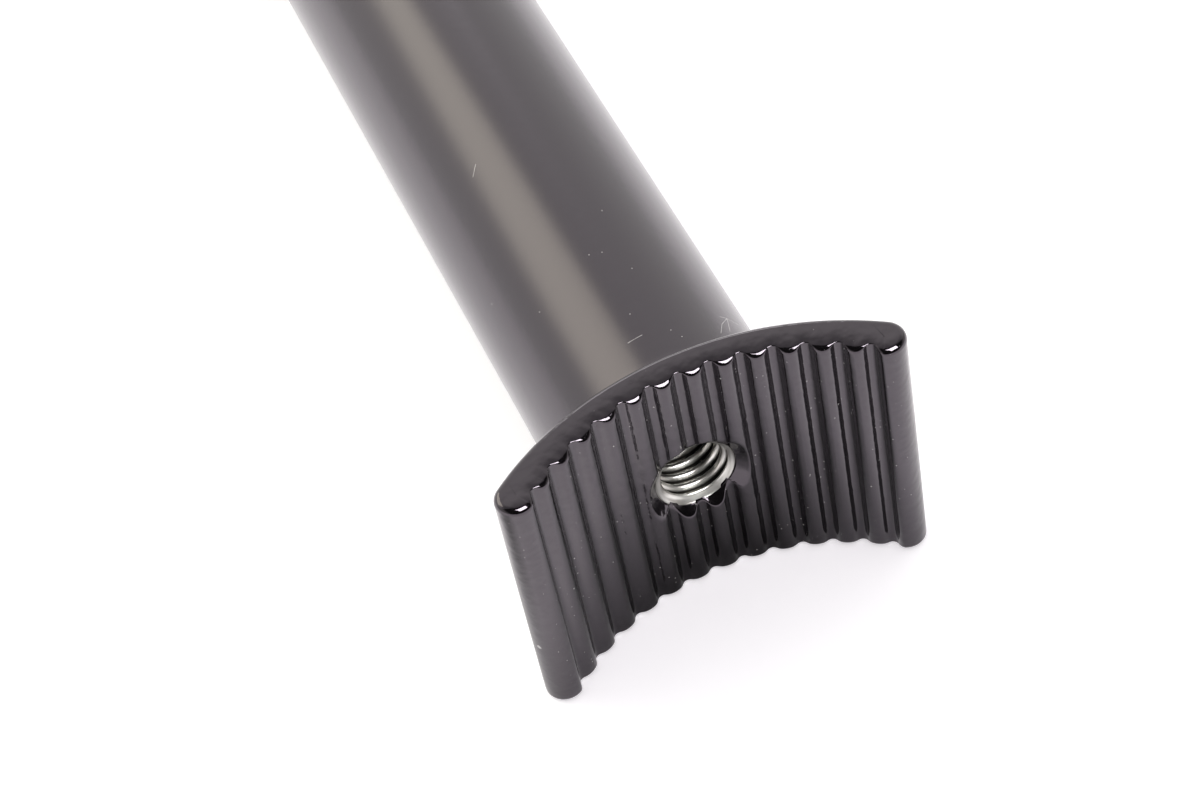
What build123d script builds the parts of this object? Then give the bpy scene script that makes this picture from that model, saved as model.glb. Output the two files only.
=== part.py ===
from build123d import *
import os
from math import asin, atan2, cos, degrees, floor, radians, sin, sqrt, tan

# Bicycle seatpost, forged in one piece and lying on the side of its head.
# X runs along the head, Y along the tube towards its open end, Z up.
# The origin is on the resting plane, under the middle of the post. Sizes in millimetres.

# Post and tube
post_length = 200.0
tube_diameter = 25.4
tube_wall = 4.0
rim_chamfer = 1.0
mouth_chamfer = 0.6
bore_corner = 3.0

# Head, an arched plate with a concave face and fully rounded ends
head_length = 43.9
head_width = 32.4
head_thickness = 3.6
face_radius = 28.1
end_radius = 2.15
edge_radius = 0.75
neck_radius = 2.6
flare_radius = 12.0

# Grooves that leave the ridges of the concave face between them
groove_angle = 6.48
groove_depth = 0.9
groove_floor_radius = 0.7
shoulder_radius = 1.1
flank_angle = 52.0
shoulder_break = 12.0

# Tapped hole for the saddle bolt, drawn at its tapping drill
thread_drill = 6.8
thread_length = 14.9
countersink_diameter = 10.7
countersink_angle = 90.0

# How far a cut is carried past the surface that it opens
cut_margin = 1.0

# Shares of the free back beside the tube that the neck's fillet and its flare may take
neck_share = 0.95
flare_share = 0.16

# Centre of each rounded end, seen from the centre of the concave face
axis_height = head_width / 2
tube_radius = tube_diameter / 2
end_reach = face_radius + end_radius
end_x = head_length / 2 - end_radius
end_angle = asin(end_x / end_reach)

# The head's tips reach the front of the post, and the concave face follows from them
face_y = end_radius - post_length / 2 - end_reach * cos(end_angle)
end_y = face_y + end_reach * cos(end_angle)
face_middle = face_y + face_radius
back_middle = face_middle + head_thickness
open_end = post_length / 2

# Back arc that runs through the middle of the back and touches both rounded ends
back_rise = back_middle - end_y
back_radius = (back_rise**2 + end_x**2 - end_radius**2) / (2 * (back_rise - end_radius))
back_y = back_middle - back_radius
back_angle = degrees(atan2(end_y - back_y, end_x))

# Flare of the tube, from a full circle behind the head to the middle of the head's thickness
neck_room = (head_width - tube_diameter) / 2 - edge_radius
flare_swell = flare_share * neck_room
flare_start = back_middle + sqrt(2 * flare_radius * flare_swell - flare_swell**2)
core_radius = face_radius + head_thickness / 2
flare_end = face_y + sqrt(core_radius**2 - tube_radius**2)
flare_sweep = degrees(asin((flare_start - flare_end) / flare_radius))

# Profile of one groove: x is depth below the crests, y runs across the groove
floor_centre = groove_depth - groove_floor_radius
shoulder_reach = groove_floor_radius + shoulder_radius
shoulder_depth = shoulder_radius * cos(radians(shoulder_break))
flank = radians(flank_angle)
flank_length = (floor_centre - shoulder_depth + shoulder_reach * cos(flank)) / sin(flank)
shoulder_side = shoulder_reach * sin(flank) + flank_length * cos(flank)
shoulder_sweep = flank_angle - shoulder_break
run_out = groove_floor_radius

with BuildSketch() as groove:
    with BuildLine():
        right_centre = (shoulder_depth, shoulder_side)
        left_centre = (shoulder_depth, -shoulder_side)
        floor_arc = CenterArc((floor_centre, 0), groove_floor_radius, -flank_angle, 2 * flank_angle)
        right_shoulder = CenterArc(right_centre, shoulder_radius, 180 + flank_angle, -shoulder_sweep)
        left_shoulder = CenterArc(left_centre, shoulder_radius, 180 - flank_angle, shoulder_sweep)
        Line(floor_arc @ 1, right_shoulder @ 0)
        Line(floor_arc @ 0, left_shoulder @ 0)
        right_run = Line(right_shoulder @ 1, right_shoulder @ 1 + (right_shoulder % 1) * run_out)
        left_run = Line(left_shoulder @ 1, left_shoulder @ 1 + (left_shoulder % 1) * run_out)
        Line(right_run @ 1, left_run @ 1)
    make_face()

grooves_each_side = floor(degrees(end_angle) / groove_angle)
groove_count = 2 * grooves_each_side + 1
groove_fan = 2 * grooves_each_side * groove_angle

with BuildPart() as seatpost:
    # Tube blank with its flare, ended inside the head's thickness
    with BuildSketch(Plane((0, 0, axis_height))):
        with BuildLine():
            Line((tube_radius, open_end), (tube_radius, flare_start))
            flare = CenterArc((tube_radius + flare_radius, flare_start), flare_radius, 180, flare_sweep)
            Polyline(flare @ 1, (0, flare_end), (0, open_end), (tube_radius, open_end))
        make_face()
    revolve(axis=Axis((0, 0, axis_height), (0, 1, 0)))
    with BuildSketch(Plane((0, face_y, axis_height))):
        Circle(core_radius)
    extrude(amount=head_width, both=True, mode=Mode.SUBTRACT)

    # Head plate
    with BuildSketch():
        with BuildLine():
            end_sweep = back_angle + 90 + degrees(end_angle)
            CenterArc((0, face_y), face_radius, 90 - degrees(end_angle), 2 * degrees(end_angle))
            CenterArc((end_x, end_y), end_radius, back_angle, -end_sweep)
            CenterArc((-end_x, end_y), end_radius, 180 - back_angle, end_sweep)
            CenterArc((0, back_y), back_radius, back_angle, 180 - 2 * back_angle)
        make_face()
    extrude(amount=head_width)

    # Neck, where the flare runs into the back of the head
    fillet(seatpost.edges(Select.NEW), radius=min(neck_radius, neck_share * neck_room))

    # Rounded edges round both sides of the head
    side_edges = seatpost.edges().group_by(Axis.Z)
    fillet(side_edges[0] + side_edges[-1], radius=edge_radius)

    # Ridged face
    with BuildSketch():
        with Locations((0, face_y)):
            with PolarLocations(face_radius, groove_count, 90 - groove_fan / 2, groove_fan, endpoint=True):
                add(groove.sketch)
    extrude(amount=head_width, mode=Mode.SUBTRACT)

    # Blind bore of the tube
    with BuildSketch(Plane((0, open_end, axis_height), x_dir=(1, 0, 0), z_dir=(0, -1, 0))):
        Circle(tube_radius - tube_wall)
    bore_depth = open_end - (face_middle + groove_depth + thread_length)
    extrude(amount=bore_depth, mode=Mode.SUBTRACT)
    fillet(seatpost.edges(Select.LAST).group_by(Axis.Y)[0], radius=bore_corner)

    # Tapped hole, countersunk from the crests of the ridges
    flare = cut_margin * tan(radians(countersink_angle / 2))
    with Locations(Plane((0, face_middle - cut_margin, axis_height), x_dir=(1, 0, 0), z_dir=(0, -1, 0))):
        CounterSinkHole(
            radius=thread_drill / 2,
            counter_sink_radius=countersink_diameter / 2 + flare,
            depth=groove_depth + thread_length + 2 * cut_margin,
            counter_sink_angle=countersink_angle,
        )

    # Chamfers of the open end
    rim_edges = seatpost.edges().group_by(Axis.Y)[-1].sort_by(SortBy.RADIUS)
    chamfer(rim_edges[-1], length=rim_chamfer)
    chamfer(rim_edges[0], length=mouth_chamfer)

seatpost.part.label = "seatpost"
os.makedirs("parts", exist_ok=True)
export_step(seatpost.part, "parts/seatpost.step")
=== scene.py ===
import math

import bmesh
import bpy
import numpy as np
from mathutils import Matrix, Vector


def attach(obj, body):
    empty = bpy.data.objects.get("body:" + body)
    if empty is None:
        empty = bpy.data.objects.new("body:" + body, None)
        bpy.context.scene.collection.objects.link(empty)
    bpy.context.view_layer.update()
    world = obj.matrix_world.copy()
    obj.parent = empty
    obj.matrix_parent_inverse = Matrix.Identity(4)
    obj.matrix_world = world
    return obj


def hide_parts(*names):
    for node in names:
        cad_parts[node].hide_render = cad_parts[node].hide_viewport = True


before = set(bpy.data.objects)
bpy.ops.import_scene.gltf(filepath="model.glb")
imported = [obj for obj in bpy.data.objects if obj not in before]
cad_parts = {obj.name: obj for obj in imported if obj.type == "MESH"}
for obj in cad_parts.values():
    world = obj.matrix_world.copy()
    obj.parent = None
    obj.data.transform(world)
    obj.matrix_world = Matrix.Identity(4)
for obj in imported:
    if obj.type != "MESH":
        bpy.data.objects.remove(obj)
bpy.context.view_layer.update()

# Lengths are in millimetres in the CAD frame, and are scaled to metres where Blender takes them.
# Lamps alone are placed and sized in metres.
MILLIMETRE = 0.001

# Sizes of the solid
post_length = 200.0
tube_radius = 12.7
tube_wall = 4.0
rim_chamfer = 1.0
mouth_chamfer = 0.6
bore_corner = 3.0
head_length = 43.9
head_width = 32.4
head_thickness = 3.6
face_radius = 28.1
end_radius = 2.15
edge_radius = 0.75
neck_radius = 2.6
flare_radius = 12.0
flare_share = 0.16
groove_angle = math.radians(6.48)
groove_depth = 0.9
groove_floor_radius = 0.7
shoulder_radius = 1.1
flank_angle = math.radians(52.0)
shoulder_break = math.radians(12.0)
countersink_radius = 5.35
thread_length = 14.9

# Thread that the solid leaves to the scene, and the edge of the paint round it
thread_pitch = 1.475
thread_major = 4.3
thread_minor = 3.55
thread_phase = -0.025
paint_edge_radius = 4.45
paint_thickness = 0.05

# The thread is a sleeve, which stands clear of the wall and the seat that the body has for it
thread_clearance = 0.02
hole_edge_radius = thread_major + 0.2
hole_wall_radius = thread_major + 0.07
sleeve_radius = thread_major + 0.04
sleeve_end_radius = thread_major + 0.03
seat_depth = 2 * paint_thickness
lip_depth = paint_thickness / 2

# Rounding that thick paint gives to the head's edges, tighter in the grooves, and to the countersink's rim
groove_edge_radius = 0.12
crown_reach = 2.7
end_crown_reach = 2.0
back_reach = 0.8
crown_tilt = math.radians(11)
rim_rounding = 0.2

# Places that follow from the sizes, as in the solid
axis_height = head_width / 2
open_end = post_length / 2
end_reach = face_radius + end_radius
end_x = head_length / 2 - end_radius
end_angle = math.asin(end_x / end_reach)
end_y = end_radius - post_length / 2
face_y = end_y - end_reach * math.cos(end_angle)
face_middle = face_y + face_radius
back_middle = face_middle + head_thickness
back_rise = back_middle - end_y
back_radius = (back_rise**2 + end_x**2 - end_radius**2) / (2 * (back_rise - end_radius))
back_y = back_middle - back_radius
back_angle = math.atan2(end_y - back_y, end_x)
flare_swell = flare_share * (axis_height - tube_radius - edge_radius)
flare_start = back_middle + math.sqrt(2 * flare_radius * flare_swell - flare_swell**2)
bore_radius = tube_radius - tube_wall
bore_end = face_middle + groove_depth + thread_length

# Profile of a groove
floor_centre = groove_depth - groove_floor_radius
shoulder_reach = groove_floor_radius + shoulder_radius
shoulder_depth = shoulder_radius * math.cos(shoulder_break)
floor_rise = floor_centre - shoulder_depth + shoulder_reach * math.cos(flank_angle)
flank_length = floor_rise / math.sin(flank_angle)
shoulder_side = shoulder_reach * math.sin(flank_angle) + flank_length * math.cos(flank_angle)
floor_side = groove_floor_radius * math.sin(flank_angle)
flank_side = shoulder_side - shoulder_radius * math.sin(flank_angle)
break_side = shoulder_side - shoulder_radius * math.sin(shoulder_break)
grooves_each_side = math.floor(end_angle / groove_angle)

# Rounds after which a repeated correction has settled, and halvings that find a place closely
settling_rounds = 12
halvings = 60

# Least width of a rounded corner, which keeps a sharp one from a division by zero
least_width = 1e-9

# Digits to which angles round the axis are compared, in radians
angle_digits = 6


# Mesh made of patches that share their borders

class Shell:
    """Patches of quads and triangles, welded into one mesh where their borders meet."""

    weld_distance = 1e-4

    def __init__(self):
        self.points = []
        self.faces = []
        self.count = 0

    def add(self, points):
        """Keep an array of points. Returns their numbers in the same arrangement."""
        points = np.asarray(points, float)
        index = self.count + np.arange(points[..., 0].size).reshape(points.shape[:-1])
        self.points.append(points.reshape(-1, 3))
        self.count += index.size
        return index

    def grid(self, points, closed=False, window=None):
        """Quads between rows of points. A closed grid joins its last column to its first."""
        index = self.add(points)
        if closed:
            index = np.concatenate([index, index[:, :1]], axis=1)
        corners = [index[:-1, :-1], index[:-1, 1:], index[1:, 1:], index[1:, :-1]]
        quads = np.stack(corners, axis=-1)
        keep = np.ones(quads.shape[:2], bool)
        if window is not None:
            rows, columns = window
            keep[rows[0]:rows[1], columns[0]:columns[1]] = False
        self.faces.append(quads[keep])

    def zip(self, first, second, first_key, second_key):
        """Triangles between two lines of points, in the order of their keys."""
        one = self.add(first)
        two = self.add(second)
        i, j = 0, 0
        made = []
        while i < len(one) - 1 or j < len(two) - 1:
            first_left = i < len(one) - 1
            second_left = j < len(two) - 1
            if first_left and (not second_left or first_key[i + 1] <= second_key[j + 1]):
                made.append((one[i], one[i + 1], two[j], two[j]))
                i += 1
            else:
                made.append((one[i], two[j + 1], two[j], two[j]))
                j += 1
        self.faces.append(np.array(made))

    def object(self, name):
        """The welded mesh as an object in the scene."""
        points = np.concatenate(self.points)
        faces = np.concatenate(self.faces)
        keys = np.round(points / self.weld_distance).astype(np.int64)
        _, first, merged = np.unique(keys, axis=0, return_index=True, return_inverse=True)
        merged = merged.reshape(-1)
        corners = [list(dict.fromkeys(face)) for face in merged[faces].tolist()]
        corners = [face for face in corners if len(face) > 2]
        mesh = bpy.data.meshes.new(name)
        mesh.from_pydata((points[first] * MILLIMETRE).tolist(), [], corners)
        mesh.validate()
        mesh.polygons.foreach_set("use_smooth", [True] * len(mesh.polygons))
        made = bpy.data.objects.new(name, mesh)
        bpy.context.scene.collection.objects.link(made)
        face_outwards(mesh)
        return made


def face_outwards(mesh):
    """Turn every face of a closed mesh outwards."""
    work = bmesh.new()
    work.from_mesh(mesh)
    bmesh.ops.recalc_face_normals(work, faces=work.faces)
    work.to_mesh(mesh)
    work.free()


# Forms that several patches use

def smooth_max(a, b, width):
    """The greater of two depths, with the corner between them rounded over a width."""
    width = np.maximum(width, least_width)
    overlap = np.clip(width - np.abs(a - b), 0, None)
    return np.maximum(a, b) + overlap**2 / (4 * width)


def groove_profile(across):
    """Depth of a groove below the crests, at a distance across from its middle."""
    across = np.abs(across)
    floor = floor_centre + np.sqrt(np.clip(groove_floor_radius**2 - across**2, 0, None))
    flank_foot = floor_centre + groove_floor_radius * math.cos(flank_angle)
    flank = flank_foot - (across - floor_side) * math.tan(flank_angle)
    from_shoulder = shoulder_side - across
    shoulder = shoulder_depth - np.sqrt(np.clip(shoulder_radius**2 - from_shoulder**2, 0, None))
    run_out = (break_side - across) * math.tan(shoulder_break)
    stretches = [across < floor_side, across < flank_side, across < break_side]
    return np.select(stretches, [floor, flank, shoulder], run_out)


def groove_cut(angle):
    """Depth below the crest circle at an angle round the concave face."""
    number = np.clip(np.round(angle / groove_angle), -grooves_each_side, grooves_each_side)
    turn = angle - number * groove_angle
    depth = np.zeros_like(turn)
    for _ in range(settling_rounds):
        depth = groove_profile((face_radius + depth) * np.tan(turn))
    return np.clip((face_radius + depth) / np.cos(turn) - face_radius, 0, None)


def face_point(angle, height):
    """Point of the ridged face at an angle, and at a height above the tube's axis."""
    radius = face_radius + groove_cut(angle)
    return radius * np.sin(angle), face_y + radius * np.cos(angle), height


def countersunk(x, y, height, sunk=0.0):
    """The face with the countersink cut into it, its rim rounded by the paint."""
    cone = face_middle + countersink_radius - np.hypot(x, height)
    return smooth_max(y, cone, rim_rounding) + sunk


def stack(x, y, height):
    """Points from their coordinates, with heights counted from the tube's axis."""
    x, y, height = np.broadcast_arrays(x, y, height)
    return np.stack([x, y, height + axis_height], axis=-1)


def around(radius, y, turn):
    """Points at angles round the tube's axis."""
    return stack(radius * np.cos(turn), y, radius * np.sin(turn))


def ring(radius, y, turn):
    """Rows of points round the tube's axis, one row for each radius and place along it."""
    return around(np.atleast_1d(radius)[:, None], np.atleast_1d(y)[:, None], turn)


# Outline of the head, seen along its width

floor_steps = 7
flank_steps = 3
shoulder_steps = 8
land_shares = np.array([0.55, 1.0])
end_margin = math.radians(0.02)
run_out_margin = 0.2
end_steps = 22
crowded_end_steps = 4
crowded_end_step = math.radians(1.7)
even_end_start = math.radians(11)
back_side_steps = 8
back_window_steps = 84
back_window_half_length = 17.7
back_window_angle = math.asin(back_window_half_length / back_radius)


def front_angles():
    """Angles of the columns on the ridged face, close together where the grooves turn."""
    floor_turn = np.linspace(0, flank_angle, floor_steps + 1)
    shoulder_turn = np.linspace(flank_angle, shoulder_break, shoulder_steps + 1)
    across = np.concatenate([
        groove_floor_radius * np.sin(floor_turn),
        np.linspace(floor_side, flank_side, flank_steps + 1)[1:-1],
        shoulder_side - shoulder_radius * np.sin(shoulder_turn),
    ])
    turn = np.arctan2(across, face_radius + groove_profile(across))
    land = land_shares * (groove_angle / 2 - turn[-1]) + turn[-1]
    half = np.concatenate([turn, land])
    whole = np.concatenate([-half[1:-1][::-1], half])
    numbers = np.arange(-grooves_each_side, grooves_each_side + 1)
    angles = (numbers[:, None] * groove_angle + whole).ravel()
    inside = np.abs(angles) < end_angle - end_margin
    return np.concatenate([[-end_angle], angles[inside], [end_angle]])


def end_columns(side):
    """Base points, inward directions and groove depths round one rounded end, front to back."""
    sweep = back_angle + math.pi / 2 + end_angle
    crowded = crowded_end_step * np.arange(1, crowded_end_steps + 1)
    even = np.linspace(even_end_start, sweep, end_steps)[:-1]
    turn = np.concatenate([crowded, even]) - math.pi / 2 - end_angle
    outward = np.stack([np.cos(turn), np.sin(turn)], axis=-1)
    base = np.array([end_x, end_y]) + end_radius * outward
    groove = grooves_each_side * groove_angle
    offset = base - np.array([0, face_y])
    radial = offset @ np.array([math.sin(groove), math.cos(groove)]) - face_radius
    across = offset @ np.array([math.cos(groove), -math.sin(groove)])
    cut = np.clip(groove_profile(across) - radial, 0, None) * (across < break_side + run_out_margin)
    mirror = np.array([side, 1])
    return base * mirror, -outward * mirror, cut


def inward_normals(points, inward):
    """Directions into the material, square to a closed outline."""
    before = points - np.roll(points, 1, axis=0)
    after = np.roll(before, -1, axis=0)
    before_length = np.linalg.norm(before, axis=1)[:, None]
    after_length = np.linalg.norm(after, axis=1)[:, None]
    along = before / before_length * after_length + after / after_length * before_length
    normal = np.stack([-along[:, 1], along[:, 0]], axis=-1)
    normal /= np.linalg.norm(normal, axis=1)[:, None]
    return normal * np.sign((normal * inward).sum(axis=1))[:, None]


def head_outline():
    """Closed outline of the head: base points, inward directions, groove depths and its parts' starts."""
    angle = front_angles()
    inward = np.stack([np.sin(angle), np.cos(angle)], axis=-1)
    front = (np.array([0, face_y]) + face_radius * inward, inward, groove_cut(angle))
    right = end_columns(1)
    left = [part[::-1] for part in end_columns(-1)]
    side = np.linspace(math.pi / 2 - back_angle, back_window_angle, back_side_steps + 1)
    middle = np.linspace(back_window_angle, -back_window_angle, back_window_steps + 1)
    turn = np.concatenate([side[:-1], middle, -side[::-1][1:]])
    outward = np.stack([np.sin(turn), np.cos(turn)], axis=-1)
    back = (np.array([0, back_y]) + back_radius * outward, -outward, np.zeros(len(turn)))
    parts = [front, right, back, left]
    starts = np.cumsum([0] + [len(part[0]) for part in parts])
    base, inward, cut = (np.concatenate([part[k] for part in parts]) for k in range(3))
    return angle, turn, base, inward, cut, starts


# Rows of the head, from one side of it to the other

window_grooves = 2
window_half_height = 6.4
window_rows = 40
rows_beside_window = 7
top_edge_rows = 18
bottom_edge_rows = 8
crown_rows = 9


def edge_radii(cut):
    """Radius of the rounded edge in each column, tighter towards the floors of the grooves."""
    return smooth_max(edge_radius - cut, groove_edge_radius, groove_edge_radius)


def side_crown(angle, cut, radii, starts):
    """Reach, tilt and drop of the soft crown behind the edge in each column, fading out round the ends."""
    front = np.zeros(len(cut))
    front[:starts[1]] = 1
    fade = np.linspace(0, math.pi, starts[2] - starts[1] + 2)[1:-1]
    front[starts[1]:starts[2]] = 0.5 + 0.5 * np.cos(fade)
    front[starts[3]:] = front[starts[1]:starts[2]][::-1]
    reach = back_reach + (end_crown_reach - back_reach) * front
    middle = np.clip((end_angle - np.abs(angle)) / groove_angle, 0, 1)
    reach[:starts[1]] += (crown_reach - end_crown_reach) * middle * middle * (3 - 2 * middle)
    tilt = crown_tilt * front
    drop = np.tan(tilt) / 2 * (reach - cut - radii)
    return reach, tilt, drop


def wall_heights(radii, tilt, drop):
    """Heights of the wall's rows in each column, from one rounded edge to the other."""
    edge = (drop + radii * np.cos(tilt))[None, :]
    share = np.linspace(0, 1, rows_beside_window + 1)[:, None]
    low = edge + (axis_height - window_half_height - edge) * share
    window = axis_height + np.linspace(-window_half_height, window_half_height, window_rows + 1)
    window = np.broadcast_to(window[:, None], (len(window), len(radii)))
    return np.concatenate([low[:-1], window, head_width - low[::-1][1:]])


def border_loop(columns, rows):
    """Row and column numbers round a window, starting at its low left corner."""
    c0, c1 = columns
    r0, r1 = rows
    low = [(r0, c) for c in range(c0, c1)]
    right = [(r, c1) for r in range(r0, r1)]
    high = [(r1, c) for c in range(c1, c0, -1)]
    left = [(r, c0) for r in range(r1, r0, -1)]
    loop = np.array(low + right + high + left)
    return loop[:, 0], loop[:, 1]


def add_side(shell, head, rows, top):
    """One side of the head: its rounded edge, a soft crown behind the edge and the flat middle."""
    base, inward, outline, radii, (reach, tilt, drop), starts = head
    normal = inward_normals(outline, inward)
    turn = np.linspace(0, 1, rows + 1)[:, None] * (math.pi / 2 - tilt)
    edge = outline + normal * (radii * (1 - np.cos(turn)))[..., None]
    edge_below = drop + radii * (np.cos(tilt) - np.sin(turn))
    share = np.linspace(0, 1, crown_rows + 1)[1:, None]
    crown = edge[-1] * (1 - share[..., None]) + (base + inward * reach[:, None]) * share[..., None]
    below = np.concatenate([edge_below, drop * (1 - share)**2])
    z = head_width - below if top else below
    side = np.concatenate([np.concatenate([edge, crown]), z[..., None]], axis=-1)
    shell.grid(side, closed=True)
    inner = side[-1]
    right_tip = (starts[1] + starts[2]) // 2
    left_tip = (starts[3] + starts[4]) // 2
    front = np.concatenate([inner[left_tip:], inner[:right_tip + 1]])
    back = inner[right_tip:left_tip + 1][::-1]
    shell.zip(front, back, front[:, 0], back[:, 0])


def add_head(shell):
    """Ridged face, rounded ends, back and edges. Returns what the hole and the neck join on to."""
    angle, back_turn, base, inward, cut, starts = head_outline()
    outline = base + inward * cut[:, None]
    radii = edge_radii(cut)
    crown = side_crown(angle, cut, radii, starts)
    z = wall_heights(radii, *crown[1:])
    walls = np.concatenate([np.broadcast_to(outline, z.shape + (2,)), z[..., None]], axis=-1)
    window_ends = (-window_grooves * groove_angle, window_grooves * groove_angle)
    front_window = [int(np.argmin(np.abs(angle - end))) for end in window_ends]
    back_start = starts[2] + back_side_steps
    window = ([rows_beside_window, rows_beside_window + window_rows], front_window)
    closed = np.concatenate([walls, walls[:, :1]], axis=1)
    shell.grid(closed[:, :back_start + 1], window=window)
    shell.grid(closed[:, back_start + back_window_steps:])
    head = (base, inward, outline, radii, crown, starts)
    add_side(shell, head, top_edge_rows, True)
    add_side(shell, head, bottom_edge_rows, False)
    rows, columns = border_loop(front_window, window[0])
    front_border = (angle[columns], z[rows, columns] - axis_height)
    rows, columns = border_loop([0, back_window_steps], [0, len(z) - 1])
    back_border = (back_turn[back_side_steps + columns], z[rows, back_start] - axis_height)
    return front_border, back_border


# Hole in the ridged face

least_rim_share = 0.3
ray_steps = 20
ray_crowding = 1.4
rim_overlap = 0.06
rim_overlap_share = 0.75
cone_steps = 6
seat_steps = 4
last_wall_row = 4.0


def rim_share(angle, height):
    """How far along each ray from the hole's middle to the window's border the countersink ends."""
    low, high = np.full(len(angle), least_rim_share), np.ones(len(angle))
    for _ in range(halvings):
        middle = (low + high) / 2
        x, y, up = face_point(middle * angle, middle * height)
        outside = y > face_middle + countersink_radius - np.hypot(x, up)
        low, high = np.where(outside, low, middle), np.where(outside, middle, high)
    return high


def countersink_ring(radius, turn, sunk=0.0):
    """Points on the countersunk face at a radius from the hole's axis."""
    x, height = radius * np.cos(turn), radius * np.sin(turn)
    angle = np.arcsin(x / (face_radius + groove_depth / 2))
    for _ in range(settling_rounds):
        angle = np.arcsin(x / (face_radius + groove_cut(angle)))
    _, y, _ = face_point(angle, height)
    return stack(x, countersunk(x, y, height, sunk), height)


def add_hole(shell, border):
    """Countersunk mouth of the tapped hole and the seat of its thread. Returns the columns' angles."""
    angle, height = border
    rim = rim_share(angle, height)
    spread = np.linspace(0, 1, ray_steps + 1)[:, None]**ray_crowding
    start = np.maximum(rim - rim_overlap, rim_overlap_share * rim)
    share = start + (1 - start) * spread
    x, y, up = face_point(share * angle, share * height)
    rays = stack(x, countersunk(x, y, up), up)
    shell.grid(rays, closed=True)
    turn = np.unwrap(np.arctan2(rays[0, :, 2] - axis_height, rays[0, :, 0]))
    inner = np.hypot(rays[0, :, 0], rays[0, :, 2] - axis_height)
    radii = inner + (paint_edge_radius - inner) * np.linspace(0, 1, cone_steps + 1)[:, None]
    cone = np.stack([countersink_ring(radius, turn) for radius in radii])
    cone[0] = rays[0]
    shell.grid(cone, closed=True)
    seat_radii = np.linspace(paint_edge_radius, hole_wall_radius, seat_steps + 1)
    seat = np.stack([countersink_ring(radius, turn, seat_depth) for radius in seat_radii])
    shell.grid(np.concatenate([cone[-1:], seat]), closed=True)
    wall = ring([hole_wall_radius] * 2, [bore_end - last_wall_row, bore_end], turn)
    shell.grid(np.concatenate([seat[-1:], wall]), closed=True)
    return turn


# Tube with its neck and bore

neck_steps = 12
flare_steps = 8
steepest_flare = math.radians(70)
back_patch_steps = 8
edge_support = 0.06
tube_rows = 12
bore_rows = 8
bore_corner_steps = 8


def beside_flare(tilt, gap):
    """Radius and place along the tube, at a gap outside the point of the flare that has a tilt."""
    reach = flare_radius - gap
    return tube_radius + flare_radius - reach * np.cos(tilt), flare_start - reach * np.sin(tilt)


def neck_tilt(turn):
    """Tilt of the flare where a ball rolling in the neck touches both the flare and the head's back."""
    low, high = np.zeros(len(turn)), np.full(len(turn), steepest_flare)
    for _ in range(halvings):
        middle = (low + high) / 2
        radius, y = beside_flare(middle, neck_radius)
        above = np.hypot(radius * np.cos(turn), y - back_y) > back_radius + neck_radius
        low, high = np.where(above, middle, low), np.where(above, high, middle)
    return (low + high) / 2


def add_neck(shell, border):
    """Fillet between the head's back and the tube's flare, as a ball rolls round it."""
    back_turn, height = border
    turn = np.arctan2(height, back_radius * np.sin(back_turn))
    tilt = neck_tilt(turn)
    ball = around(*beside_flare(tilt, neck_radius), turn)
    start = around(*beside_flare(tilt, 0), turn) - ball
    away = ball - np.array([0, back_y, 0])
    away[:, 2] = 0
    away /= np.linalg.norm(away, axis=1)[:, None]
    finish = -neck_radius * away
    between = np.arccos(np.clip((start * finish).sum(axis=1) / neck_radius**2, -1, 1))
    share = np.linspace(0, 1, neck_steps + 1)[:, None]
    from_start = np.sin((1 - share) * between)[..., None] * start
    from_finish = np.sin(share * between)[..., None] * finish
    fillet = (from_start + from_finish) / np.sin(between)[:, None] + ball
    shell.grid(fillet, closed=True)
    foot = fillet[-1]
    foot_turn = np.arctan2(foot[:, 0], foot[:, 1] - back_y)
    share = np.linspace(0, 1, back_patch_steps + 1)[:, None]
    patch_turn = foot_turn + (back_turn - foot_turn) * share
    patch_height = foot[:, 2] - axis_height + (height - foot[:, 2] + axis_height) * share
    patch = stack(back_radius * np.sin(patch_turn), back_y + back_radius * np.cos(patch_turn), patch_height)
    patch[0] = foot
    shell.grid(patch, closed=True)
    tilts = tilt * np.linspace(1, 0, flare_steps + 1)[:, None]
    flare = around(*beside_flare(tilts, 0), turn)
    flare[0] = fillet[0]
    shell.grid(flare, closed=True)
    return np.unwrap(turn)


def closed_ring(radius, turn):
    """Points round the open end in the order of their angles, closed, with the angles."""
    key = np.mod(np.round(turn, angle_digits), 2 * math.pi)
    order = np.argsort(key)
    key = np.append(key[order], key[order[0]] + 2 * math.pi)
    return ring(radius, open_end, turn[np.append(order, order[0])])[0], key


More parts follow.
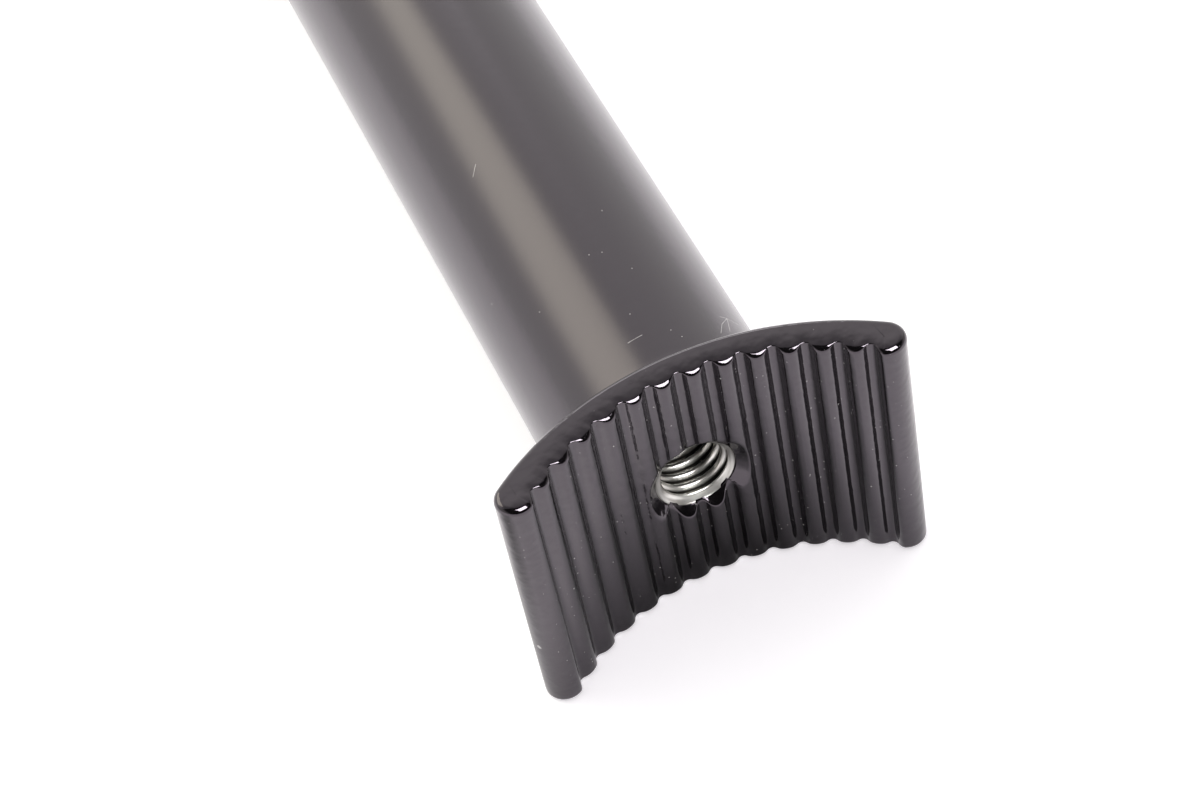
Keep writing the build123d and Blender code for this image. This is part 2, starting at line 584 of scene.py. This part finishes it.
def add_tube(shell, outer_turn, inner_turn):
    """Tube, chamfered open end and blind bore, as rings round the axis."""
    chamfer_start = open_end - rim_chamfer
    rim = tube_radius - rim_chamfer
    outer = [(tube_radius, y) for y in np.linspace(flare_start, chamfer_start - edge_support, tube_rows)]
    outer += [(tube_radius, chamfer_start)]
    outer += [(tube_radius - edge_support, chamfer_start + edge_support)]
    outer += [(rim + edge_support, open_end - edge_support)]
    outer += [(rim, open_end), (rim - edge_support, open_end)]
    shell.grid(ring(*np.array(outer).T, outer_turn), closed=True)
    mouth = bore_radius + mouth_chamfer
    bore_start = open_end - mouth_chamfer
    corner_start = bore_end + bore_corner
    inner = [(mouth + edge_support, open_end), (mouth, open_end)]
    inner += [(mouth - edge_support, open_end - edge_support), (bore_radius, bore_start)]
    inner += [(bore_radius, y) for y in np.linspace(bore_start - edge_support, corner_start, bore_rows)]
    for turn in np.linspace(0, math.pi / 2, bore_corner_steps + 1)[1:]:
        radius = bore_radius - bore_corner * (1 - math.cos(turn))
        inner += [(radius, bore_end + bore_corner * (1 - math.sin(turn)))]
    inner += [(hole_edge_radius, bore_end), (hole_wall_radius, bore_end)]
    shell.grid(ring(*np.array(inner).T, inner_turn), closed=True)
    outside, outside_turn = closed_ring(rim - edge_support, outer_turn)
    inside, inside_turn = closed_ring(mouth + edge_support, inner_turn)
    shell.zip(outside, inside, outside_turn, inside_turn)


def make_body():
    """The whole post as one closed mesh, with a plain wall where the thread's sleeve goes."""
    shell = Shell()
    front_border, back_border = add_head(shell)
    inner_turn = add_hole(shell, front_border)
    outer_turn = add_neck(shell, back_border)
    add_tube(shell, outer_turn, inner_turn)
    return shell.object("seatpost_body")


# Thread of the saddle bolt

thread_columns = 120
thread_rows = 16
turns_before_mouth = 2
thread_root = 0.625
thread_sharpness = 1.6
lead_in_slope = 1.4
lip_steps = 6
sleeve_start = 1.0


def thread_radius(phase):
    """Radius of the tapped wall at a share of the pitch, with broad worn crests and narrow roots."""
    swell = 0.5 + 0.5 * np.cos(2 * math.pi * (phase - thread_root))
    return thread_minor + (thread_major - thread_minor) * swell**thread_sharpness


def make_thread():
    """Closed sleeve with the thread inside, flush with the bare chamfer of the mouth."""
    shell = Shell()
    turn = np.linspace(0, 2 * math.pi, thread_columns + 1)[:-1]
    lip_radii = np.linspace(paint_edge_radius - thread_clearance, sleeve_radius, lip_steps + 1)
    lip = np.stack([countersink_ring(radius, turn, lip_depth) for radius in lip_radii])
    under_depth = seat_depth - thread_clearance
    under = np.stack([countersink_ring(radius, turn, under_depth) for radius in lip_radii])
    start = face_middle + countersink_radius - lip_radii[-1] + lip_depth
    finish = bore_end - thread_clearance
    phases = np.arange(thread_rows) / thread_rows
    turns = math.ceil((finish - start) / thread_pitch) + 1
    phase = (np.arange(-turns_before_mouth, turns)[:, None] + phases).ravel()
    seam = np.linspace(0, 2 * math.pi, thread_columns + 1)
    groove_floor = face_middle + groove_depth
    y = groove_floor + thread_pitch * (phase[:, None] + thread_phase + seam / (2 * math.pi))
    radius = np.broadcast_to(thread_radius(phase)[:, None], y.shape)
    radius = np.maximum(radius, lip_radii[-1] - lead_in_slope * (y - start))
    radius = np.maximum(radius, sleeve_end_radius - (finish - y))
    y = np.clip(y, start, finish)
    radius = np.where(y <= start, lip_radii[-1], radius)
    radius = np.where(y >= finish, sleeve_end_radius, radius)
    shell.grid(around(radius, y, -seam))
    shell.grid(lip, closed=True)
    shell.grid(np.stack([lip[0], under[0]]), closed=True)
    outer = ring([sleeve_radius] * 2, [start + sleeve_start, finish], turn)
    inner_end = ring(sleeve_end_radius, finish, turn)
    shell.grid(np.concatenate([under, outer, inner_end]), closed=True)
    return shell.object("thread")


# Camera, as fitted to the photograph from a point on the tube's axis at the floor of the middle groove

camera_azimuth = math.radians(-15.855)
camera_elevation = math.radians(51.027)
camera_distance = 300.77
aim_azimuth = camera_azimuth + math.radians(2.369)
aim_elevation = camera_elevation - math.radians(1.805)
camera_roll = math.radians(-12.848)
photo_width_px = 1200
focal_length_px = 2942.8
sensor_width = 36.0
nearest_seen = 10.0


def direction(azimuth, elevation):
    """Unit vector towards a viewer at an azimuth from -Y and an elevation above the floor."""
    level = math.cos(elevation)
    return Vector((math.sin(azimuth) * level, -math.cos(azimuth) * level, math.sin(elevation)))


def make_camera():
    """The photograph's camera, turned by its aim and its roll."""
    data = bpy.data.cameras.new("camera")
    data.sensor_width = sensor_width
    data.lens = focal_length_px / photo_width_px * sensor_width
    data.clip_start = nearest_seen * MILLIMETRE
    camera = bpy.data.objects.new("camera", data)
    bpy.context.scene.collection.objects.link(camera)
    target = Vector((0, face_middle + groove_depth, axis_height))
    place = target + camera_distance * direction(camera_azimuth, camera_elevation)
    back = direction(aim_azimuth, aim_elevation)
    level_right = Vector((math.cos(aim_azimuth), math.sin(aim_azimuth), 0))
    level_up = back.cross(level_right)
    right = level_right * math.cos(camera_roll) + level_up * math.sin(camera_roll)
    up = level_up * math.cos(camera_roll) - level_right * math.sin(camera_roll)
    turned = Matrix((right, up, back)).transposed().to_4x4()
    camera.matrix_world = Matrix.Translation(place * MILLIMETRE) @ turned
    bpy.context.scene.camera = camera


# Nodes of materials and of the world

class Graph:
    """A node tree in which each new node gets its settings and inputs in one call."""

    def __init__(self, tree):
        self.nodes = tree.nodes
        self.links = tree.links

    def feed(self, socket, value):
        """Link an output to a socket, or set the socket to a plain value."""
        if isinstance(value, bpy.types.NodeSocket):
            self.links.new(value, socket)
        else:
            socket.default_value = value

    def add(self, kind, inputs, **settings):
        """A new node of a kind, its inputs given by name or by number."""
        node = self.nodes.new("ShaderNode" + kind)
        for name, value in settings.items():
            setattr(node, name, value)
        for name, value in inputs.items():
            self.feed(node.inputs[name], value)
        return node

    def number(self, operation, *values):
        """A number worked out from numbers."""
        return self.add("Math", dict(enumerate(values)), operation=operation).outputs["Value"]

    def vector(self, operation, *values):
        """A vector worked out from vectors."""
        return self.add("VectorMath", dict(enumerate(values)), operation=operation).outputs["Vector"]

    def measure(self, operation, *values):
        """A number worked out from vectors."""
        return self.add("VectorMath", dict(enumerate(values)), operation=operation).outputs["Value"]

    def change(self, value, start, stop, first=0.0, last=1.0, **settings):
        """A number that goes from first to last while a value goes from start to stop."""
        inputs = {"Value": value, "From Min": start, "From Max": stop, "To Min": first, "To Max": last}
        return self.add("MapRange", inputs, **settings).outputs["Result"]

    def blend(self, share, first, second):
        """A colour between two colours."""
        inputs = {"Factor": share, "A": first, "B": second}
        return self.add("Mix", inputs, data_type="RGBA").outputs["Result"]

    def place(self):
        """Place on the object, in metres."""
        return self.add("TexCoord", {}).outputs["Object"]

    def split(self, place):
        """The three coordinates of a place."""
        return self.add("SeparateXYZ", {"Vector": place}).outputs


def new_material(name):
    """A material with its node tree and the inputs of its shader."""
    material = bpy.data.materials.new(name)
    material.use_nodes = True
    return material, Graph(material.node_tree), material.node_tree.nodes["Principled BSDF"].inputs


# Marks that the photograph shows: strokes on top of the tube, given by x and y, and a painted highlight on
# the left end

scratch = [(-1.76, -82.74), (-0.12, -82.59)]
lint = [
    [(7.59, -84.31), (8.36, -82.73), (9.39, -81.46)],
    [(8.67, -81.48), (9.39, -81.46), (10.3, -81.88)],
    [(9.39, -81.46), (8.77, -83.7)],
    [(-5.64, -49.76), (-6.49, -50.9)],
]
specks = [
    (-0.04, -79.37), (3.43, -84.45), (2.78, -83.22),
    (3.32, -64.14), (2.74, -73.44), (-7.53, -72.1), (-10.83, -65.19),
    (-0.46, -69.64), (0.87, -69.99),
]
# A painted highlight: a pale dot where a glint shows on the left end.
painted_glint = (-21.67, -98.9, 9.58)
scratch_radius = 0.05
lint_radius = 0.04
speck_radius = 0.08
painted_glint_radius = 0.35


def on_tube(place):
    """Point on the upper side of the tube."""
    x, y = place
    return Vector((x, y, axis_height + math.sqrt(tube_radius**2 - x**2)))


def paint_strokes():
    """Ends and radius of every stroke, with a speck and the painted highlight on the left end as strokes
    that have no length.
    """
    strokes = [(on_tube(scratch[0]), on_tube(scratch[1]), scratch_radius)]
    for line in lint:
        strokes += [(on_tube(a), on_tube(b), lint_radius) for a, b in zip(line, line[1:])]
    strokes += [(on_tube(place), on_tube(place), speck_radius) for place in specks]
    return strokes + [(Vector(painted_glint), Vector(painted_glint), painted_glint_radius)]


def add_stroke(graph, place, start, end, radius):
    """Value that is 1 on a stroke and falls to 0 beside it."""
    way = (end - start).normalized()
    offset = graph.vector("SUBTRACT", place, start * MILLIMETRE)
    along = graph.measure("DOT_PRODUCT", offset, way)
    length = (end - start).length * MILLIMETRE
    reach = graph.add("Clamp", {"Value": along, "Max": length}).outputs["Result"]
    foot = graph.add("VectorMath", {0: way, "Scale": reach}, operation="SCALE").outputs["Vector"]
    apart = graph.measure("DISTANCE", offset, foot)
    return graph.change(apart, radius * MILLIMETRE, radius / 2 * MILLIMETRE)


# Black paint: gloss on the head, satin on the tube

paint_colour = (0.003, 0.0025, 0.003, 1)
mark_and_glint_colour = (0.4, 0.39, 0.38, 1)
paint_index = 1.6
paint_tint = (1.0, 0.88, 1.0, 1)
head_roughness = 0.08
tube_roughness = 0.26
satin_start = back_middle + 0.6
satin_full = back_middle + 1.4

# Orange peel of the paint, weaker on the tube, in features per metre
peel_scale = 800
peel_detail = 1.5
peel_height = 0.05
tube_peel = 0.16

# Dust in cells, where a cell's own chance sets the size of its speck, thinner on the upper side
dust_scale = 1700
dust_least_chance = 0.25
dust_largest = 0.14
dust_edge = 0.03
dust_thin_start = head_width - 1.0
dust_thin_full = head_width - 0.5
dust_on_top = 0.55

# Patches that gather the dust
patch_scale = 150
patch_range = (0.42, 0.6)
patch_shares = (0.45, 1.15)


def add_dust(graph, place, height, on_head):
    """Value that is 1 on specks of dust and 0 between them."""
    cells = graph.add("TexVoronoi", {"Vector": place, "Scale": dust_scale}).outputs
    chance = graph.add("SeparateColor", {"Color": cells["Color"]}).outputs["Red"]
    size = graph.change(chance, dust_least_chance, 1.0, 0.0, dust_largest)
    patches = graph.add("TexNoise", {"Vector": place, "Scale": patch_scale}).outputs["Fac"]
    size = graph.number("MULTIPLY", size, graph.change(patches, *patch_range, *patch_shares))
    thin_start, thin_full = dust_thin_start * MILLIMETRE, dust_thin_full * MILLIMETRE
    size = graph.number("MULTIPLY", size, graph.change(height, thin_start, thin_full, 1.0, dust_on_top))
    size = graph.number("MULTIPLY", size, on_head)
    return graph.change(graph.number("SUBTRACT", size, cells["Distance"]), 0.0, dust_edge)


def make_paint():
    """Paint with its peel, its dust, the marks on it and a painted highlight."""
    material, graph, shader = new_material("black_paint")
    shader["IOR"].default_value = paint_index
    shader["Specular Tint"].default_value = paint_tint
    place = graph.place()
    _, along, height = graph.split(place)
    satin = (satin_start * MILLIMETRE, satin_full * MILLIMETRE)
    graph.feed(shader["Roughness"], graph.change(along, *satin, head_roughness, tube_roughness))
    on_head = graph.change(along, *satin, 1.0, tube_peel)
    grain = {"Vector": place, "Scale": peel_scale, "Detail": peel_detail}
    peel = graph.add("TexNoise", grain).outputs["Fac"]
    relief = {"Height": peel, "Strength": on_head, "Distance": peel_height * MILLIMETRE}
    graph.feed(shader["Normal"], graph.add("Bump", relief).outputs["Normal"])
    marks_and_glint = add_dust(graph, place, height, on_head)
    # Dust, scratch, lint and specks are real marks; the dot on the left end is a painted highlight.
    for stroke in paint_strokes():
        marks_and_glint = graph.number("MAXIMUM", marks_and_glint, add_stroke(graph, place, *stroke))
    graph.feed(shader["Base Color"], graph.blend(marks_and_glint, paint_colour, mark_and_glint_colour))
    return material


# Bare metal of the thread, with painted shade in its roots, less of it at the mouth

metal_roughness = 0.32
metal_dark = (0.17, 0.155, 0.14, 1)
metal_bright = (0.7, 0.69, 0.66, 1)
metal_range = (0.3, 0.65)
root_shade_colour = (0.015, 0.014, 0.012, 1)
root_shade_start = thread_major - 0.45
root_shade_full = thread_major - 0.25
mouth_y = face_middle + countersink_radius - thread_major
mouth_shade = 0.35
mouth_shade_end = mouth_y + 0.35
full_shade_y = mouth_y + 0.7

# Streaks that run round the hole, in features per metre
streak_scale = (250, 2500, 250)
streak_detail = 4


def make_bare_metal():
    """Streaked bright metal, with painted shade in the thread's roots."""
    material, graph, shader = new_material("bare_metal")
    shader["Metallic"].default_value = 1.0
    shader["Roughness"].default_value = metal_roughness
    place = graph.place()
    from_axis = graph.vector("MULTIPLY_ADD", place, (1, 0, 1), (0, 0, -axis_height * MILLIMETRE))
    radius = graph.measure("LENGTH", from_axis)
    # Painted shade: the roots go dark, less so at the mouth than deeper in the hole.
    in_roots = graph.change(radius, root_shade_start * MILLIMETRE, root_shade_full * MILLIMETRE)
    along = graph.split(place)["Y"]
    inside = graph.change(along, mouth_shade_end * MILLIMETRE, full_shade_y * MILLIMETRE, mouth_shade)
    root_shade = graph.number("MULTIPLY", in_roots, inside)
    stretched = graph.vector("MULTIPLY", place, streak_scale)
    streaks = graph.add("TexNoise", {"Vector": stretched, "Scale": 1.0, "Detail": streak_detail})
    metal = graph.add("ValToRGB", {"Fac": streaks.outputs["Fac"]})
    stops = metal.color_ramp.elements
    for stop, position, colour in zip(stops, metal_range, (metal_dark, metal_bright)):
        stop.position = position
        stop.color = colour
    graph.feed(shader["Base Color"], graph.blend(root_shade, metal.outputs["Color"], root_shade_colour))
    return material


# Floor, with a painted shadow that only mirrors see, inside the head's arch and beside its left end

floor_half_width = 6000.0
floor_drop = 0.02
floor_colour = (0.8, 0.8, 0.8, 1)
shaded_floor_colour = (0.25, 0.25, 0.25, 1)
floor_roughness = 0.9
floor_glow = (1, 0.95, 1, 1)
floor_glow_seen = 0.45
arch_shade_y = -88.0
arch_shade_squeeze = 0.62
arch_shade_range = (7.0, 26.0)
left_shade_place = (-50.0, -100.0, 0.0)
left_shade_range = (6.0, 22.0)
left_shade_least = 0.35


def add_painted_floor_shadow(graph, place):
    """Painted shadow on the floor as mirrors see it: brightness from 0 in the arch to 1 on the open floor.
    """
    squeeze = (arch_shade_squeeze, 1, 0)
    from_arch = graph.vector("MULTIPLY_ADD", place, squeeze, (0, -arch_shade_y * MILLIMETRE, 0))
    near, far = (reach * MILLIMETRE for reach in arch_shade_range)
    arch = graph.change(graph.measure("LENGTH", from_arch), near, far)
    from_left = graph.measure("DISTANCE", place, Vector(left_shade_place) * MILLIMETRE)
    near, far = (reach * MILLIMETRE for reach in left_shade_range)
    return graph.number("MULTIPLY", arch, graph.change(from_left, near, far, left_shade_least))


def make_floor():
    """Wide pale floor just below the post."""
    size = floor_half_width * MILLIMETRE
    mesh = bpy.data.meshes.new("floor")
    corners = [(-size, -size, 0), (size, -size, 0), (size, size, 0), (-size, size, 0)]
    mesh.from_pydata(corners, [], [(0, 1, 2, 3)])
    floor = bpy.data.objects.new("floor", mesh)
    floor.location.z = -floor_drop * MILLIMETRE
    bpy.context.scene.collection.objects.link(floor)
    material, graph, shader = new_material("floor")
    shader["Roughness"].default_value = floor_roughness
    shader["Emission Color"].default_value = floor_glow
    path = graph.add("LightPath", {}).outputs
    # For glossy rays the floor's colour and glow are darkened near the head: a painted shadow.
    glossy = graph.number("MULTIPLY", path["Is Glossy Ray"], add_painted_floor_shadow(graph, graph.place()))
    painted_shadow_share = graph.number("SUBTRACT", path["Is Glossy Ray"], glossy)
    graph.feed(shader["Base Color"], graph.blend(painted_shadow_share, floor_colour, shaded_floor_colour))
    seen = graph.number("MULTIPLY_ADD", path["Is Camera Ray"], floor_glow_seen, glossy)
    graph.feed(shader["Emission Strength"], seen)
    mesh.materials.append(material)


# Surroundings: white to the camera, plain to matt surfaces, and dark in mirrors round one direction

plain_colour = (0.8, 0.8, 0.8, 1)
mirrored_colour = (1, 1, 0.95, 1)
white = (1, 1, 1, 1)
dark_elevation = math.radians(55)
dark_range = (0.25, 0.62)
dark_strength = 0.03


def make_world():
    """One background for each kind of ray."""
    world = bpy.data.worlds.new("studio")
    bpy.context.scene.world = world
    world.use_nodes = True
    graph = Graph(world.node_tree)
    plain = graph.nodes["Background"]
    plain.inputs["Color"].default_value = plain_colour
    way = graph.add("TexCoord", {}).outputs["Generated"]
    towards_dark = graph.measure("DOT_PRODUCT", way, direction(0, dark_elevation))
    strength = graph.change(towards_dark, *dark_range, 1.0, dark_strength, interpolation_type="SMOOTHSTEP")
    mirrored = graph.add("Background", {"Color": mirrored_colour, "Strength": strength})
    seen = graph.add("Background", {"Color": white})
    path = graph.add("LightPath", {}).outputs
    surfaces = {0: path["Is Glossy Ray"], 1: plain.outputs["Background"], 2: mirrored.outputs["Background"]}
    unseen = graph.add("MixShader", surfaces).outputs["Shader"]
    surfaces = {0: path["Is Camera Ray"], 1: unseen, 2: seen.outputs["Background"]}
    whole = graph.add("MixShader", surfaces).outputs["Shader"]
    graph.feed(graph.nodes["World Output"].inputs["Surface"], whole)


def make_softbox(
    name, azimuth, elevation, distance, width, height, radiance, colour=(1, 1, 1), lights_matt=True
):
    """Rectangular lamp that faces the head, given by what a mirror would see of it."""
    data = bpy.data.lights.new(name, "AREA")
    data.shape = "RECTANGLE"
    data.size = width
    data.size_y = height
    data.energy = radiance * math.pi * width * height
    data.color = colour
    lamp = bpy.data.objects.new(name, data)
    bpy.context.scene.collection.objects.link(lamp)
    towards = direction(math.radians(azimuth), math.radians(elevation))
    target = Vector((0, face_middle, axis_height)) * MILLIMETRE
    lamp.location = target + towards * distance
    lamp.rotation_mode = "QUATERNION"
    lamp.rotation_quaternion = towards.to_track_quat("Z", "Y")
    lamp.visible_camera = False
    lamp.visible_diffuse = lights_matt


def make_lamps():
    """A wide tent behind the post, the tube's highlight, and two lamps that only mirrors show."""
    make_softbox("tent", azimuth=180, elevation=40, distance=1.1, width=4.1, height=2.2, radiance=0.57)
    make_softbox(
        "softbox", azimuth=214, elevation=42, distance=1.0, width=0.68, height=0.5, radiance=3.0,
        colour=(1, 1, 0.77),
    )
    make_softbox(
        "front_softbox", azimuth=18, elevation=56, distance=1.2, width=0.72, height=0.8, radiance=26.0,
        lights_matt=False,
    )
    make_softbox(
        "back_strip", azimuth=168, elevation=27, distance=3.0, width=0.9, height=0.65, radiance=2.8,
        lights_matt=False,
    )


# Build

body = make_body()
body.data.materials.append(make_paint())
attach(body, "root")
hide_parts("seatpost")

thread = make_thread()
thread.data.materials.append(make_bare_metal())
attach(thread, "root")

make_floor()
make_world()
make_lamps()
make_camera()
bpy.context.scene.view_settings.view_transform = "Standard"
